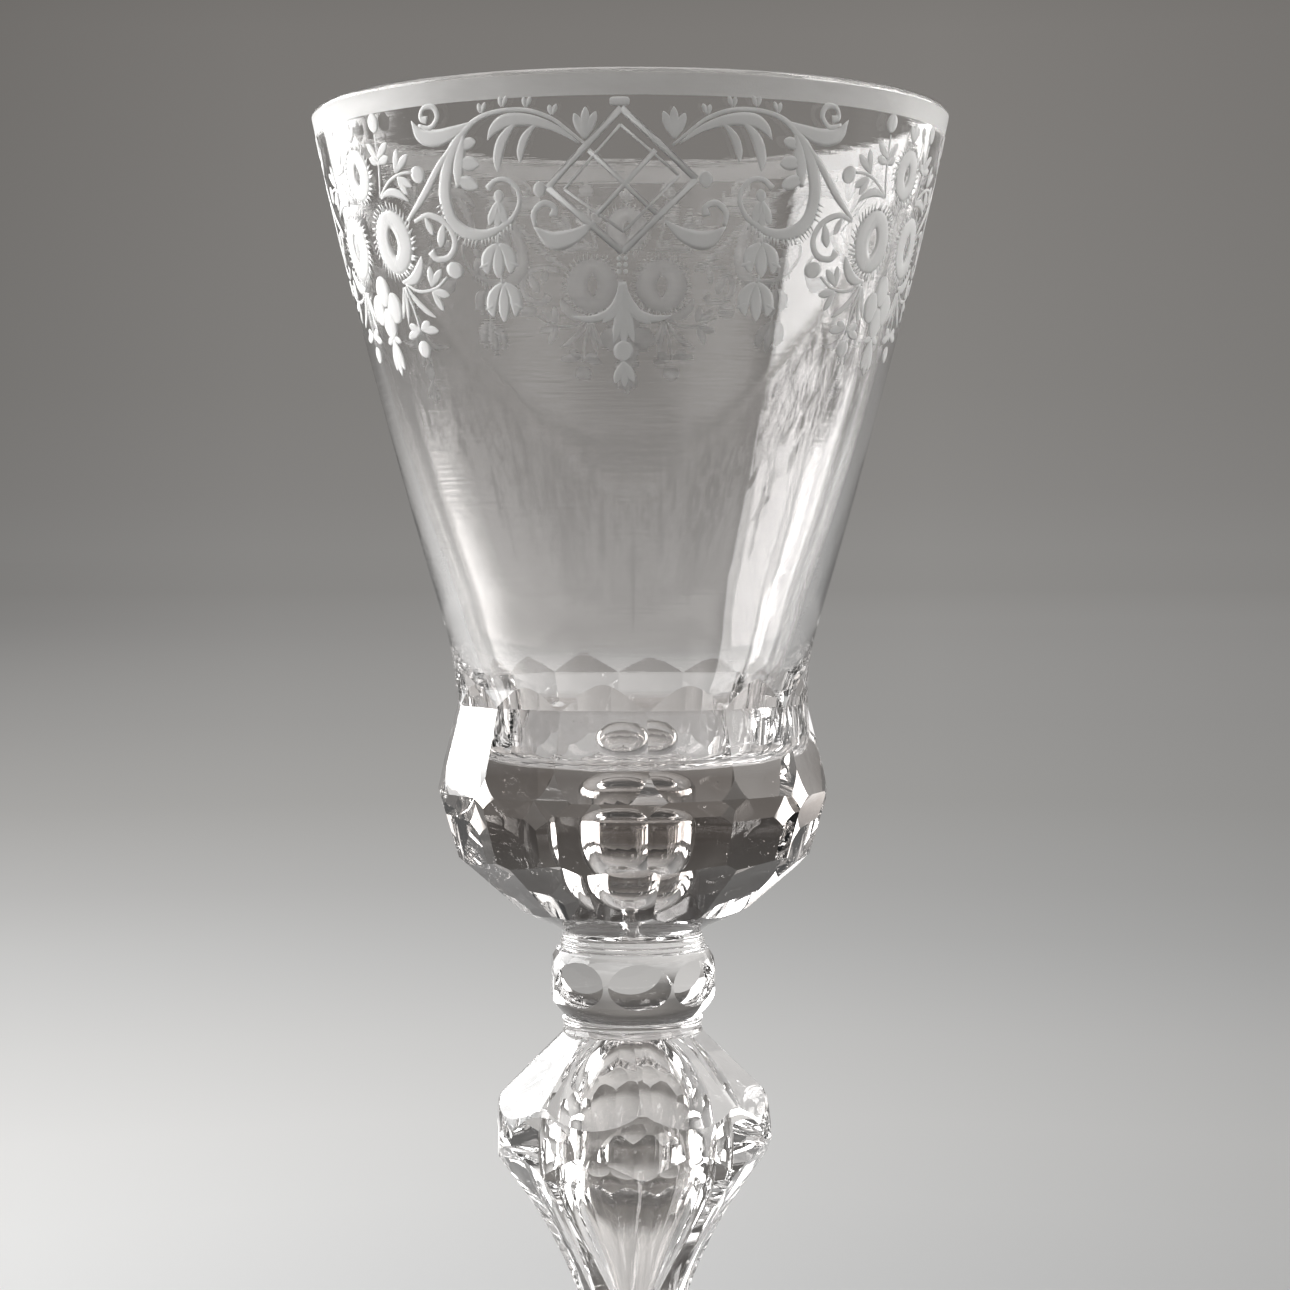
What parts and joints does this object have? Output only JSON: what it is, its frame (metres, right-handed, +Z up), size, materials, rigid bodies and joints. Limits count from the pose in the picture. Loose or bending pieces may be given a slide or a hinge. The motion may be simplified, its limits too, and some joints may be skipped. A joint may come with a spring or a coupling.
{
  "type": "stemmed goblet",
  "caption": "Tall stemmed drinking glass: flared engraved bowl on a thick facet-cut base with an air tear, knopped and faceted baluster stem with a second tear, wide plain foot.",
  "frame": {"origin": "middle of the resting plane under the foot", "axes": "+Z up along the glass's axis, towards the rim; -Y is the front, where the lattice of the engraved band is"},
  "size_m": [0.0938, 0.094, 0.21],
  "materials": {
    "bowl_glass": "clear potash glass, faintly warm grey, polished, with a frosted wheel-engraved band and a ground band at the rim",
    "stem_glass": "clear potash glass, faintly warm grey, cut flat and polished",
    "foot_glass": "clear potash glass, faintly warm grey, fire polished, with a ground resting ring"
  },
  "bodies": {
    "root": {"foot": "foot_glass", "foot_collar": "stem_glass", "foot_knop": "stem_glass", "baluster": "stem_glass", "stem_collar": "stem_glass", "ball_knop": "stem_glass", "bowl_collar": "stem_glass", "bowl": "bowl_glass"}
  },
  "joints": []
}
